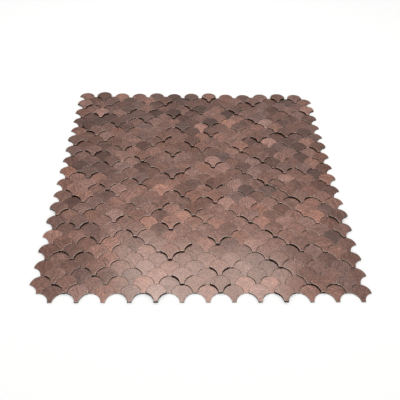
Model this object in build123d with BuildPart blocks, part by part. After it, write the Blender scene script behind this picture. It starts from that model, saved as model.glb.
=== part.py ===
from build123d import *
from math import atan2, cos, sin
import os

# Self-adhesive metal mosaic tile: fan-shaped metal chips in three thicknesses, set in interlocking rows
# on a thin adhesive film. It lies on the film with +Z up; rows run along X and the round heads of the
# fans point along +Y. The origin is under the middle of the tile. All sizes are in millimetres.

# Fan pattern, measured to the middle of the joints
HEAD_RADIUS = 8.5  # round head of a fan
TAIL_WIDTH = 3.6  # narrow end of a fan
COLUMNS = 13  # chips in a row
ROWS = 34
JOINT = 0.1  # open joint between neighbouring chips

# Thicknesses
LOW_CHIP = 0.5
MID_CHIP = 1.3
HIGH_CHIP = 2.1
FILM_THICKNESS = 0.3

# The film stops this far inside the outer edge of the fans
FILM_MARGIN = 0.8

# Each head fits between two tails, and a tail ends on the head two rows below it
COLUMN_PITCH = 2 * HEAD_RADIUS + TAIL_WIDTH
ROW_PITCH = HEAD_RADIUS

# Thickness of each chip from the left, L low, M middle and H high. The tile repeats two strips of four
# rows, each listed from its front row to its back row.
STRIP_A = ("HLMLMHLLMLHML", "LMHLMLLHLLMLL", "LLMHLLLMLHMLM", "MHMLLHLLLMLLL")
STRIP_B = ("LLHMLLMLHLLMH", "HMLLMLHLMLLML", "LMLMHLLLMHLLL", "LHLLMLMHLLMHM")
LAYOUT = STRIP_B[2:] + 2 * STRIP_A + STRIP_B + 2 * STRIP_A + STRIP_B + STRIP_A + STRIP_B
SINKS = ((4, 3), (12, 9))  # row and column of the two chips that are low where the strips have a thick one
THICKNESS = {"L": LOW_CHIP, "M": MID_CHIP, "H": HIGH_CHIP}


def centre(row, column):
    """Middle of one fan's head. Every other row is set half a fan to the left."""
    shift = -0.25 if row % 2 else 0.25
    x = (column - (COLUMNS - 1) / 2 + shift) * COLUMN_PITCH
    y = (row - (ROWS - 1) / 2) * ROW_PITCH
    return (x, y)


def level(row, column):
    """Letter of the thickness that the layout gives to one chip."""
    if (row, column) in SINKS:
        return "L"
    letters = LAYOUT[row % len(LAYOUT)]
    return letters[column % len(letters)]


def fan(inset):
    """Face of one fan about the middle of its head, drawn in by the inset all round, tail towards -Y.

    Five straight sides stand for the round head. The corner at each shoulder lies outside the round by
    about as much as the sides beside it lie inside.
    """
    half_tail = TAIL_WIDTH / 2
    shoulder_angle = atan2(HEAD_RADIUS, half_tail) / 2
    shoulder_radius = 2 * HEAD_RADIUS / (1 + cos(shoulder_angle / 2))
    crown = Vector(half_tail, HEAD_RADIUS)
    shoulder = Vector(shoulder_radius * cos(shoulder_angle), shoulder_radius * sin(shoulder_angle))
    tip = Vector(HEAD_RADIUS, 0)
    hollow = Vector(COLUMN_PITCH / 2 - shoulder.X, shoulder.Y - ROW_PITCH)
    foot = Vector(half_tail, -ROW_PITCH)

    with BuildSketch() as outline:
        with BuildLine():
            Polyline(crown, shoulder, tip, hollow, foot)
            mirror(about=Plane.YZ)
            Line(crown, (-crown.X, crown.Y))
            Line(foot, (-foot.X, foot.Y))
        make_face()
        offset(amount=-inset, kind=Kind.INTERSECTION)
    return outline.sketch


def edge_fans():
    """Middles of the fans that make up the outer edge of the tile."""
    ends = [centre(row, 0 if row % 2 else COLUMNS - 1) for row in range(1, ROWS - 1)]
    front = [centre(0, column) for column in range(COLUMNS)]
    back = [centre(ROWS - 1, column) for column in range(COLUMNS)]
    return front + ends + back


os.makedirs("parts", exist_ok=True)

# Adhesive film, one sheet that follows the scalloped edge of the tile
film_width = COLUMNS * COLUMN_PITCH - COLUMN_PITCH / 2
film_length = (ROWS - 1) * ROW_PITCH - 2 * (FILM_MARGIN + JOINT)
with BuildPart() as film:
    with BuildSketch():
        Rectangle(film_width, film_length)
        with Locations(*edge_fans()):
            add(fan(FILM_MARGIN))
    extrude(amount=FILM_THICKNESS)
film.part.label = "adhesive_film"
export_step(film.part, "parts/adhesive_film.step")

# Metal chips, one row at a time, stuck down on the film
chip = fan(JOINT / 2)
for row in range(ROWS):
    levels = [level(row, column) for column in range(COLUMNS)]
    with BuildPart() as chips:
        for letter in sorted(set(levels)):
            with BuildSketch(Plane.XY.offset(FILM_THICKNESS)):
                with Locations(*[centre(row, i) for i in range(COLUMNS) if levels[i] == letter]):
                    add(chip)
            extrude(amount=THICKNESS[letter])
    chips.part.label = f"chip_row_{row + 1:02d}"
    export_step(chips.part, f"parts/{chips.part.label}.step")
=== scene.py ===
import functools
import math
import random

import bpy
import numpy as np
from mathutils import Matrix, Vector


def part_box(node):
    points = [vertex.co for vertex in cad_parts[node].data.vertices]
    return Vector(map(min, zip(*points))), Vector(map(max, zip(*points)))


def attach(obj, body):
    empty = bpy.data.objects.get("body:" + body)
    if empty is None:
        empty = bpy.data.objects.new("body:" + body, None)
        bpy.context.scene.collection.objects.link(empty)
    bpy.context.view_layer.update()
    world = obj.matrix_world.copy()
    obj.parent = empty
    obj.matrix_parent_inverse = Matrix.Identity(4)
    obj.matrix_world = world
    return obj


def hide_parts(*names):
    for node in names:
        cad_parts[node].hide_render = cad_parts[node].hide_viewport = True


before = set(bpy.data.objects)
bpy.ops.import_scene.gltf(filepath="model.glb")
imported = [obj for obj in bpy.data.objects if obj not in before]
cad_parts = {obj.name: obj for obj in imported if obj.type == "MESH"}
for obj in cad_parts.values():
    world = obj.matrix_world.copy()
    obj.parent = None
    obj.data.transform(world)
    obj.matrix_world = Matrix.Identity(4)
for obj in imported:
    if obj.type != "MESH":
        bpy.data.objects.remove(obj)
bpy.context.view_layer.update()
film_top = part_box("adhesive_film")[1].z

# Self-adhesive metal mosaic tile: brushed fan chips in three thicknesses on an adhesive film.
# Lengths are in metres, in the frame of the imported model. Colours are linear.
MM = 0.001

# Fan pattern, as in the solids
HEAD_RADIUS = 8.5 * MM
TAIL_WIDTH = 3.6 * MM
COLUMNS = 13
ROWS = 34
COLUMN_PITCH = 2 * HEAD_RADIUS + TAIL_WIDTH
ROW_PITCH = HEAD_RADIUS
FAN_REACH = 1.1 * HEAD_RADIUS  # no point of a fan is further than this from the middle of its head

# Chip edges
JOINT = 0.16 * MM  # open joint between chips, a little wider than in the solids
EDGE_RADIUS = 0.055 * MM  # rounded top edge of a chip
EDGE_SHARE = 0.07  # most that this radius may take of a thin chip's thickness
EDGE_STEPS = 2
ROLL_WIDTH = 1.0 * MM  # border along which the face rolls off before the edge
ROLL_SHARE = 0.02  # depth of the roll-off as a share of the chip's thickness
ROLL_STEPS = 3
CORNER_CUT = 0.12 * MM  # how far the tips and tail corners are rounded back
HEAD_STEPS = 24
FLANK_STEPS = 11
CORNER_STEPS = 4
FACE_SLOT, SIDE_SLOT = 0, 1  # material slots of a chip

# How chips differ
SEED = 46731
SPREAD_LIMIT = 2  # no random number is further out than this many spreads
FRONT_SHADES = 0.12  # spread of the shades in the front row, as a logarithm
BACK_SHADES = 0.26  # and in the back row; the wider spread towards the back is partly painted reflection, the chips catching the surroundings differently
SHADE_GROWTH = 0.6  # below 1 the shades spread early on the way back
WARMTH_SPREAD = 0.045
TILT_SPREAD = 0.006  # slope of a chip's face
LEAN_SPREAD = 0.024  # slope of the same kind that only the light shows
GRAIN_SEEDS = 50.0  # each chip's grain is taken from a random height up to this in the noise

# Metal faces
CHIP_COLOUR = (0.244, 0.119, 0.089)  # chip of middle tone
BARE_METAL_AND_EDGE_HIGHLIGHT = (0.92, 0.83, 0.74, 1)  # where the colour is rubbed off along the edges, and also a painted highlight on the rounded edge
VEIL = 0.045  # white light that the clear lacquer adds to the metal's colour
DARKEST = 0.008  # the grain darkens no colour below this
FACE_ROUGHNESS = (0.45, 0.57)
BRUSHED_ANISOTROPY = 0.3
LACQUER_IOR = 1.6
LACQUER_ROUGHNESS = 0.18

# Grain of the metal: waves per millimetre along the brushing, across it and from chip to chip
LINES = (0.08, 1.0, 1)
SPECKS = (0.65, 0.65, 1)
PATINA = (0.16, 0.16, 1)
WAVES = (0.11, 0.11, 1)
SCRATCHES = (1.5, 1.5, 1)
NOISE_RANGE = (0.3, 0.7)  # where nearly all of a noise lies
FULL_NOISE_RANGE = (0.25, 0.75)
LINE_SHADES = (0.70, 1.30)
SPECK_SHADES = (0.70, 1.30)
PATINA_SHADES = (0.92, 1.08)
RUBBED_AND_HIGHLIGHT_SHARE = (0.65, 1.0)  # share of bare metal and painted highlight along the edges
LEAN_HEIGHT = 1.0  # the lean is stored as a height in metres
WAVE_HEIGHT = 0.4 * MM
LINE_HEIGHT = 0.02 * MM
LINE_STRENGTH = 0.25

# Cut sides of the chips
CUT_DARK = (0.0024, 0.0021, 0.0014, 1)
CUT_PALE = (0.0090, 0.0074, 0.0050, 1)
CUT_ROUGHNESS = (0.55, 0.8)
CUT_SPECULAR = 0.1

# Adhesive film, with its noises in waves per metre
FILM_DARK = (0.52, 0.52, 0.49, 1)
FILM_PALE = (0.66, 0.66, 0.63, 1)
FILM_CLOUDS = (60, 60, 60)
FILM_PEEL = (900, 900, 900)
FILM_ROUGHNESS = (0.4, 0.6)
PEEL_HEIGHT = 0.05 * MM
PEEL_STRENGTH = 0.2

# Floor
FLOOR_COLOUR = (0.95, 0.95, 0.95, 1)
FLOOR_ROUGHNESS = 0.9
FLOOR_REACH = 6.0
FLOOR_GAP = 0.05 * MM  # the floor lies this far below the film

# White surroundings: their strength, and the stretches of direction over which it changes
OVERHEAD_LIGHT = 1.30
BACK_LIGHT = 0.30  # low down beyond the tile
FRONT_LIGHT = 1.6  # added low down in front of the tile
SIDE_LIGHT = 0.45  # share that is left at the sides
BACK_STRETCH = (0.45, 0.9)  # Y of the direction
FRONT_STRETCH = (-0.4, -0.8)
SIDE_STRETCH = (0.15, 0.35)  # X of the direction, measured to both sides of the middle
SIDE_MIDDLE = 0.03

# Lamps
LAMP_COLOUR = (1.0, 0.955, 0.89)
LAMP_AIM = Vector((-0.01, -0.10, 0))
SOFTBOX = {"energy": 0.54, "size": (0.36, 0.18), "place": (0.02, 0.225, 0.52)}
SPOTLIGHT = {"energy": 0.044, "size": (0.045, 0.035), "place": (-0.060, 0.180, 0.49)}

# Camera, read from the photograph's chip grid
IMAGE_SIZE = 400
FOCAL_PIXELS = 501.24
CAMERA_PLACE = Vector((-15.64, -373.23, 332.33)) * MM
CAMERA_PITCH = math.radians(44.31)  # below the horizon
CAMERA_YAW = math.radians(2.83)
CAMERA_ROLL = math.radians(2.23)
SENSOR = 36.0
NEAREST, FURTHEST = 0.01, 50  # what the camera shows

draw = random.Random(SEED)


def chip_centre(row, column):
    """Middle of one fan's head. Every other row is set half a fan to the left."""
    shift = -0.25 if row % 2 else 0.25
    x = (column - (COLUMNS - 1) / 2 + shift) * COLUMN_PITCH
    y = (row - (ROWS - 1) / 2) * ROW_PITCH
    return x, y


def arc(centre, radius, start, end, steps):
    """Points along an arc, angles in radians, both ends included."""
    angles = np.linspace(start, end, steps + 1)
    return [(centre[0] + radius * math.cos(a), centre[1] + radius * math.sin(a)) for a in angles]


def corner(before, point, after):
    """Points of a small curve that rounds a corner between two points, ends left out."""
    points = []
    for t in np.linspace(0, 1, CORNER_STEPS + 1)[1:-1]:
        weights = ((1 - t) ** 2, 2 * t * (1 - t), t * t)
        points.append(tuple(np.dot(weights, (before, point, after))))
    return points


def fan_outline(inset):
    """Outline of one fan about the middle of its head, counter-clockwise from the right tip.

    Its hollow flanks follow the heads of the two fans beside its tail.
    """
    head = HEAD_RADIUS - inset
    flank = HEAD_RADIUS + inset
    beside = Vector((COLUMN_PITCH / 2, -ROW_PITCH))
    toward = beside.normalized()
    along = (beside.length**2 + head**2 - flank**2) / (2 * beside.length)
    across = math.sqrt(head**2 - along**2)
    tip = toward * along + Vector((-toward.y, toward.x)) * across
    foot = beside + Vector((-math.sqrt(flank**2 - inset**2), inset))

    tip_angle = math.atan2(tip.y, tip.x) + CORNER_CUT / head
    round_head = arc((0, 0), head, tip_angle, math.pi - tip_angle, HEAD_STEPS)
    tip_side = math.atan2(tip.y - beside.y, tip.x - beside.x) + CORNER_CUT / flank
    foot_side = math.atan2(foot.y - beside.y, foot.x - beside.x) - CORNER_CUT / flank
    right = arc(beside, flank, foot_side, tip_side, FLANK_STEPS)
    left = [(-x, y) for x, y in reversed(right)]
    foot_right = (foot.x - CORNER_CUT, foot.y)
    foot_left = (-foot_right[0], foot.y)
    return (
        round_head
        + corner(round_head[-1], (-tip.x, tip.y), left[0])
        + left
        + corner(left[-1], (-foot.x, foot.y), foot_left)
        + [foot_left, foot_right]
        + corner(foot_right, tuple(foot), right[0])
        + right
        + corner(right[-1], tuple(tip), round_head[0])
    )


@functools.cache
def chip_rings(thickness):
    """Outlines up a chip's side, over its rounded edge and along the soft roll-off of its face.

    Each comes with its depth below the chip's face; the first one is the foot of the side.
    """
    edge = min(EDGE_RADIUS, EDGE_SHARE * thickness)
    roll = ROLL_SHARE * thickness
    rings = [(fan_outline(JOINT / 2), None)]
    for step in range(EDGE_STEPS + 1):
        turn = math.pi / 2 * step / EDGE_STEPS
        inset = JOINT / 2 + edge * (1 - math.cos(turn))
        rings.append((fan_outline(inset), roll + edge * (1 - math.sin(turn))))
    for step in range(1, ROLL_STEPS + 1):
        share = step / ROLL_STEPS
        inset = JOINT / 2 + edge + (ROLL_WIDTH - edge) * share
        rings.append((fan_outline(inset), roll * (1 - share) ** 2))
    return rings


def spread_draw(spread):
    """A random number about zero, kept within a few spreads."""
    limit = SPREAD_LIMIT * spread
    return max(-limit, min(limit, draw.gauss(0, spread)))


def chip_tone(row):
    """Colour of one chip: its shade varies more towards the back, which is partly painted reflection; its
    warmth is the same all over.
    """
    spread = FRONT_SHADES + (BACK_SHADES - FRONT_SHADES) * (row / (ROWS - 1)) ** SHADE_GROWTH
    shade = math.exp(spread_draw(spread))
    warmth = spread_draw(WARMTH_SPREAD)
    red, green, blue = ((level + VEIL) * shade - VEIL for level in CHIP_COLOUR)
    return red * (1 + warmth), green, blue * (1 - warmth), 1


def chip_tops(node, row):
    """Height of each chip's face in one row, read from the solids."""
    points = np.array([v.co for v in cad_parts[node].data.vertices])
    tops = []
    for column in range(COLUMNS):
        near = abs(points[:, 0] - chip_centre(row, column)[0]) < HEAD_RADIUS
        tops.append(points[near, 2].max())
    return tops


def chip_points(row, column, top):
    """Points of one chip, ring by ring from its foot: place, tone, place in the grain, brushing and lean.

    A chip whose face slopes is sunk so far that no point stands above the solid's face.
    """
    x, y = chip_centre(row, column)
    tone = chip_tone(row)
    turn = draw.uniform(0, math.pi)
    seed = draw.uniform(0, GRAIN_SEEDS)
    brush = (math.cos(turn), math.sin(turn), 0)
    slope = Vector((spread_draw(TILT_SPREAD), spread_draw(TILT_SPREAD)))
    lean = (spread_draw(LEAN_SPREAD), spread_draw(LEAN_SPREAD))
    thickness = round((top - film_top) / MM, 2) * MM
    points = []
    for ring, depth in chip_rings(thickness):
        for px, py in ring:
            height = film_top
            if depth is not None:
                height = top - depth - slope.length * FAN_REACH + slope.x * px + slope.y * py
            along = px * brush[0] + py * brush[1]
            across = py * brush[0] - px * brush[1]
            grain = (along / MM, across / MM, seed)
            points.append(((x + px, y + py, height), tone, grain, brush, lean[0] * px + lean[1] * py))
    return points


def chip_faces(start, count, rings):
    """Faces of one chip from its first point, the points of a ring and the number of rings.

    Each comes with its material slot, its share of the rounded edge and whether it is smooth.
    """
    faces = []
    for level in range(rings - 1):
        low = start + level * count
        slot = SIDE_SLOT if level == 0 else FACE_SLOT
        rim = 1.0 if 1 <= level <= EDGE_STEPS else 0.0
        for i in range(count):
            j = (i + 1) % count
            faces.append(((low + i, low + j, low + count + j, low + count + i), slot, rim, level > 0))
    last = start + (rings - 1) * count
    faces.append((tuple(range(last, last + count)), FACE_SLOT, 0.0, False))
    faces.append((tuple(reversed(range(start, start + count))), SIDE_SLOT, 0.0, False))
    return faces


def store(mesh, name, kind, domain, key, values):
    """Keeps a value for each point or face of a mesh under a name that the materials read."""
    mesh.attributes.new(name, kind, domain).data.foreach_set(key, np.array(values).ravel())


def chip_row(row, face_metal, side_metal):
    """All the chips of one row as one mesh with a tone and a brushing direction for each chip."""
    node = f"chip_row_{row + 1:02d}"
    count = len(fan_outline(0))
    points, faces = [], []
    for column, top in enumerate(chip_tops(node, row)):
        chip = chip_points(row, column, top)
        faces += chip_faces(len(points), count, len(chip) // count)
        points += chip
    places, tones, grains, brushes, leans = zip(*points)
    corners, slots, rims, smooth = zip(*faces)

    mesh = bpy.data.meshes.new(f"fan_chips_{row + 1:02d}")
    mesh.from_pydata(places, [], corners)
    mesh.materials.append(face_metal)
    mesh.materials.append(side_metal)
    mesh.polygons.foreach_set("material_index", slots)
    mesh.polygons.foreach_set("use_smooth", smooth)
    store(mesh, "rim", "FLOAT", "FACE", "value", rims)
    store(mesh, "lean", "FLOAT", "POINT", "value", leans)
    store(mesh, "tone", "FLOAT_COLOR", "POINT", "color", tones)
    store(mesh, "grain", "FLOAT_VECTOR", "POINT", "vector", grains)
    store(mesh, "brush", "FLOAT_VECTOR", "POINT", "vector", brushes)
    mesh.update()
    piece = bpy.data.objects.new(mesh.name, mesh)
    bpy.context.scene.collection.objects.link(piece)
    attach(piece, "root")
    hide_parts(node)


def new_material(name):
    """A material with one Principled shader: the material, its node tree and the shader."""
    material = bpy.data.materials.new(name)
    material.use_nodes = True
    tree = material.node_tree
    tree.nodes.clear()
    output = tree.nodes.new("ShaderNodeOutputMaterial")
    shader = tree.nodes.new("ShaderNodeBsdfPrincipled")
    tree.links.new(shader.outputs["BSDF"], output.inputs["Surface"])
    return material, tree, shader


def attribute(tree, name):
    """Node that reads a value kept with the mesh."""
    node = tree.nodes.new("ShaderNodeAttribute")
    node.attribute_name = name
    return node


def noise(tree, vector, stretch, detail, roughness=0.55):
    """Noise over a vector that is first stretched along its axes."""
    mapping = tree.nodes.new("ShaderNodeMapping")
    mapping.inputs["Scale"].default_value = stretch
    tree.links.new(vector, mapping.inputs["Vector"])
    node = tree.nodes.new("ShaderNodeTexNoise")
    node.inputs["Scale"].default_value = 1.0
    node.inputs["Detail"].default_value = detail
    node.inputs["Roughness"].default_value = roughness
    tree.links.new(mapping.outputs["Vector"], node.inputs["Vector"])
    return node.outputs["Fac"]


def remap(tree, value, source, target):
    """A value moved in proportion from one stretch of numbers to another, and kept within it."""
    node = tree.nodes.new("ShaderNodeMapRange")
    for name, number in zip(("From Min", "From Max", "To Min", "To Max"), (*source, *target)):
        node.inputs[name].default_value = number
    tree.links.new(value, node.inputs["Value"])
    return node.outputs["Result"]


def maths(tree, operation, *values):
    """A sum worked out from sockets and plain numbers."""
    node = tree.nodes.new("ShaderNodeMath")
    node.operation = operation
    for socket, value in zip(node.inputs, values):
        if isinstance(value, (int, float)):
            socket.default_value = value
        else:
            tree.links.new(value, socket)
    return node.outputs["Value"]


def colour_maths(tree, operation, colour, number):
    """A colour joined with the same number in all its channels."""
    node = tree.nodes.new("ShaderNodeVectorMath")
    node.operation = operation
    node.inputs[1].default_value = (number, number, number)
    tree.links.new(colour, node.inputs[0])
    return node.outputs["Vector"]


def shaded(tree, colour, factor):
    """A colour scaled by a number as if the lacquer's white light were scaled with it."""
    scaled = tree.nodes.new("ShaderNodeVectorMath")
    scaled.operation = "SCALE"
    tree.links.new(colour_maths(tree, "ADD", colour, VEIL), scaled.inputs[0])
    tree.links.new(factor, scaled.inputs["Scale"])
    bare = colour_maths(tree, "SUBTRACT", scaled.outputs["Vector"], VEIL)
    return colour_maths(tree, "MAXIMUM", bare, DARKEST)


def ramp(tree, value, low, high):
    """A colour between two others, picked by a value from 0 to 1."""
    node = tree.nodes.new("ShaderNodeValToRGB")
    node.color_ramp.elements[0].color = low
    node.color_ramp.elements[1].color = high
    tree.links.new(value, node.inputs["Fac"])
    return node.outputs["Color"]


def bump(tree, height, distance, strength=1.0, under=None):
    """A surface direction bumped by a height, on top of another bump where one is given."""
    node = tree.nodes.new("ShaderNodeBump")
    node.inputs["Strength"].default_value = strength
    node.inputs["Distance"].default_value = distance
    tree.links.new(height, node.inputs["Height"])
    if under is not None:
        tree.links.new(under, node.inputs["Normal"])
    return node.outputs["Normal"]


def make_face_metal():
    """Brushed, lacquered copper-brown metal, paler along the rounded edge, which is partly worn bare
    metal and partly a painted highlight.
    """
    material, tree, shader = new_material("brushed_chip_face")
    grain = attribute(tree, "grain").outputs["Vector"]
    lines = noise(tree, grain, LINES, detail=3.0, roughness=0.6)
    specks = noise(tree, grain, SPECKS, detail=2.0)
    patina = noise(tree, grain, PATINA, detail=3.0)
    waves = noise(tree, grain, WAVES, detail=0.0)

    line_shade = remap(tree, lines, NOISE_RANGE, LINE_SHADES)
    speck_shade = remap(tree, specks, NOISE_RANGE, SPECK_SHADES)
    patina_shade = remap(tree, patina, NOISE_RANGE, PATINA_SHADES)
    shade = maths(tree, "MULTIPLY", maths(tree, "MULTIPLY", line_shade, speck_shade), patina_shade)
    coloured = shaded(tree, attribute(tree, "tone").outputs["Color"], shade)
    # painted highlight: the rounded edge gets a pale colour, partly rubbed bare metal and partly the
    # light that the edge would catch
    worn_and_highlit = remap(tree, patina, NOISE_RANGE, RUBBED_AND_HIGHLIGHT_SHARE)
    rubbed_and_highlit = maths(tree, "MULTIPLY", attribute(tree, "rim").outputs["Fac"], worn_and_highlit)
    metal = tree.nodes.new("ShaderNodeMix")
    metal.data_type = "RGBA"
    metal.inputs["B"].default_value = BARE_METAL_AND_EDGE_HIGHLIGHT
    tree.links.new(rubbed_and_highlit, metal.inputs["Factor"])
    tree.links.new(coloured, metal.inputs["A"])
    tree.links.new(metal.outputs["Result"], shader.inputs["Base Color"])

    tree.links.new(remap(tree, lines, FULL_NOISE_RANGE, FACE_ROUGHNESS), shader.inputs["Roughness"])
    tree.links.new(attribute(tree, "brush").outputs["Vector"], shader.inputs["Tangent"])
    shader.inputs["Metallic"].default_value = 1.0
    shader.inputs["Anisotropic"].default_value = BRUSHED_ANISOTROPY
    shader.inputs["Coat Weight"].default_value = 1.0
    shader.inputs["Coat IOR"].default_value = LACQUER_IOR
    shader.inputs["Coat Roughness"].default_value = LACQUER_ROUGHNESS

    leaning = bump(tree, attribute(tree, "lean").outputs["Fac"], LEAN_HEIGHT)
    sheet = bump(tree, waves, WAVE_HEIGHT, under=leaning)
    brushing = bump(tree, lines, LINE_HEIGHT, LINE_STRENGTH, under=sheet)
    tree.links.new(brushing, shader.inputs["Normal"])
    return material


def make_side_metal():
    """Cut side of a chip, nearly black."""
    material, tree, shader = new_material("chip_cut_side")
    grain = attribute(tree, "grain").outputs["Vector"]
    scratches = noise(tree, grain, SCRATCHES, detail=4.0)
    tree.links.new(ramp(tree, scratches, CUT_DARK, CUT_PALE), shader.inputs["Base Color"])
    tree.links.new(remap(tree, scratches, NOISE_RANGE, CUT_ROUGHNESS), shader.inputs["Roughness"])
    shader.inputs["Specular IOR Level"].default_value = CUT_SPECULAR
    return material


def make_film_plastic():
    """Off-white adhesive film with a faint orange-peel surface."""
    material, tree, shader = new_material("film_plastic")
    place = tree.nodes.new("ShaderNodeTexCoord").outputs["Object"]
    cloud = noise(tree, place, FILM_CLOUDS, detail=4.0)
    peel = noise(tree, place, FILM_PEEL, detail=2.0)
    tree.links.new(ramp(tree, cloud, FILM_DARK, FILM_PALE), shader.inputs["Base Color"])
    tree.links.new(remap(tree, peel, NOISE_RANGE, FILM_ROUGHNESS), shader.inputs["Roughness"])
    tree.links.new(bump(tree, peel, PEEL_HEIGHT, PEEL_STRENGTH), shader.inputs["Normal"])
    return material


def make_floor():
    """Plain white floor."""
    material, _, shader = new_material("floor_white")
    shader.inputs["Base Color"].default_value = FLOOR_COLOUR
    shader.inputs["Roughness"].default_value = FLOOR_ROUGHNESS
    shader.inputs["Specular IOR Level"].default_value = 0.0
    mesh = bpy.data.meshes.new("floor")
    corners = [(x * FLOOR_REACH, y * FLOOR_REACH, 0) for x, y in ((-1, -1), (1, -1), (1, 1), (-1, 1))]
    mesh.from_pydata(corners, [], [(0, 1, 2, 3)])
    mesh.materials.append(material)
    floor = bpy.data.objects.new("floor", mesh)
    floor.location.z = -FLOOR_GAP
    bpy.context.scene.collection.objects.link(floor)


def make_surroundings():
    """White surroundings, bright overhead and in front, dimmer at the sides and low at the back."""
    world = bpy.data.worlds.new("studio")
    bpy.context.scene.world = world
    world.use_nodes = True
    tree = world.node_tree
    background = tree.nodes["Background"]
    background.inputs["Color"].default_value = (1, 1, 1, 1)
    direction = tree.nodes.new("ShaderNodeSeparateXYZ")
    tree.links.new(tree.nodes.new("ShaderNodeTexCoord").outputs["Generated"], direction.inputs["Vector"])
    overhead = remap(tree, direction.outputs["Y"], BACK_STRETCH, (OVERHEAD_LIGHT, BACK_LIGHT))
    sideways = maths(tree, "ABSOLUTE", maths(tree, "SUBTRACT", direction.outputs["X"], SIDE_MIDDLE))
    overhead = maths(tree, "MULTIPLY", overhead, remap(tree, sideways, SIDE_STRETCH, (1, SIDE_LIGHT)))
    front = remap(tree, direction.outputs["Y"], FRONT_STRETCH, (0, FRONT_LIGHT))
    tree.links.new(maths(tree, "ADD", overhead, front), background.inputs["Strength"])


def make_lamp(name, energy, size, place):
    """A rectangular lamp beyond the tile, aimed at the front of it."""
    lamp = bpy.data.lights.new(name, "AREA")
    lamp.energy = energy
    lamp.color = LAMP_COLOUR
    lamp.shape = "RECTANGLE"
    lamp.size, lamp.size_y = size
    piece = bpy.data.objects.new(name, lamp)
    piece.location = place
    aim = LAMP_AIM - piece.location
    piece.rotation_euler = aim.to_track_quat("-Z", "Y").to_euler()
    bpy.context.scene.collection.objects.link(piece)


def make_camera():
    """Camera at the photograph's angle."""
    forward = Vector(
        (
            math.sin(CAMERA_YAW) * math.cos(CAMERA_PITCH),
            math.cos(CAMERA_YAW) * math.cos(CAMERA_PITCH),
            -math.sin(CAMERA_PITCH),
        )
    )
    right = Vector((math.cos(CAMERA_YAW), -math.sin(CAMERA_YAW), 0))
    up = right.cross(forward)
    rolled_right = math.cos(CAMERA_ROLL) * right + math.sin(CAMERA_ROLL) * up
    rolled_up = math.cos(CAMERA_ROLL) * up - math.sin(CAMERA_ROLL) * right
    turn = Matrix((rolled_right, rolled_up, -forward)).transposed().to_4x4()
    data = bpy.data.cameras.new("camera")
    data.sensor_width = SENSOR
    data.lens = SENSOR * FOCAL_PIXELS / IMAGE_SIZE
    data.clip_start = NEAREST
    data.clip_end = FURTHEST
    camera = bpy.data.objects.new("camera", data)
    camera.matrix_world = Matrix.Translation(CAMERA_PLACE) @ turn
    bpy.context.scene.collection.objects.link(camera)
    bpy.context.scene.camera = camera


face_metal = make_face_metal()
side_metal = make_side_metal()
for row in range(ROWS):
    chip_row(row, face_metal, side_metal)
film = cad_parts["adhesive_film"]
film.data.materials.clear()
film.data.materials.append(make_film_plastic())

make_floor()
make_surroundings()
make_lamp("softbox", **SOFTBOX)
make_lamp("spotlight", **SPOTLIGHT)
make_camera()
bpy.context.scene.view_settings.view_transform = "Standard"
